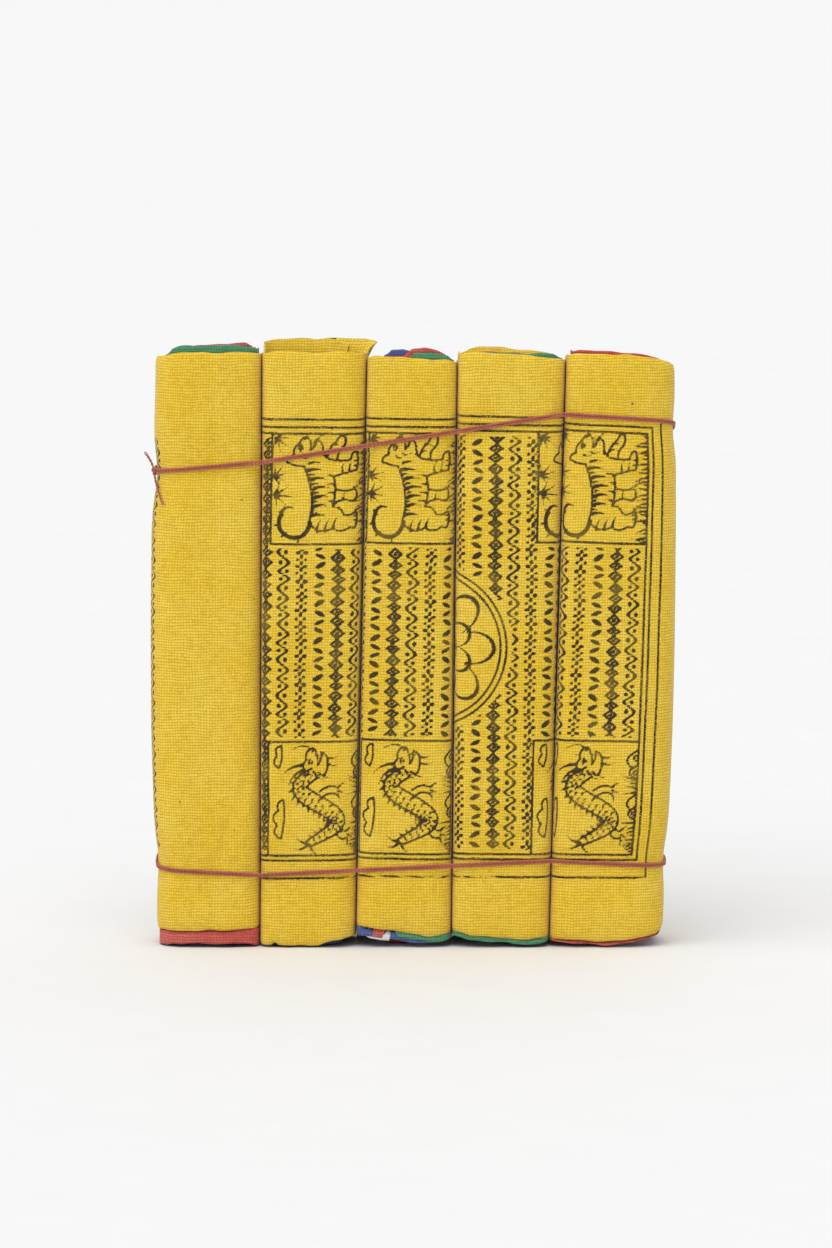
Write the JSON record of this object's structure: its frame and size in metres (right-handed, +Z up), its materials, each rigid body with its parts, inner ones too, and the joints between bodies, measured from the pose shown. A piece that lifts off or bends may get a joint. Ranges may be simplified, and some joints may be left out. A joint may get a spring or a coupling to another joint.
{
  "type": "bundle of rolled prayer flags",
  "caption": "Upright bundle of flat-wound cotton prayer flag rolls side by side, bound near the top and bottom by red thread with a small knot and loose ends.",
  "frame": {"origin": "middle of the base that the rolls stand on", "axes": "+Z up along the rolls, +X to the right along the row of rolls as seen from the front, the front faces -Y"},
  "size_m": [0.1549, 0.03, 0.1756],
  "materials": {
    "yellow_cotton": "plain woven cotton, block printed in black",
    "green_cotton": "plain woven cotton",
    "red_cotton": "plain woven cotton",
    "white_cotton": "plain woven cotton",
    "blue_cotton": "plain woven cotton",
    "red_thread": "doubled twisted cotton thread"
  },
  "bodies": {
    "root": {"roll_1": "yellow_cotton", "roll_2": "yellow_cotton", "roll_3": "yellow_cotton", "roll_4": "yellow_cotton", "roll_5": "yellow_cotton", "tie_lower": "red_thread", "tie_upper": "red_thread"}
  },
  "joints": []
}
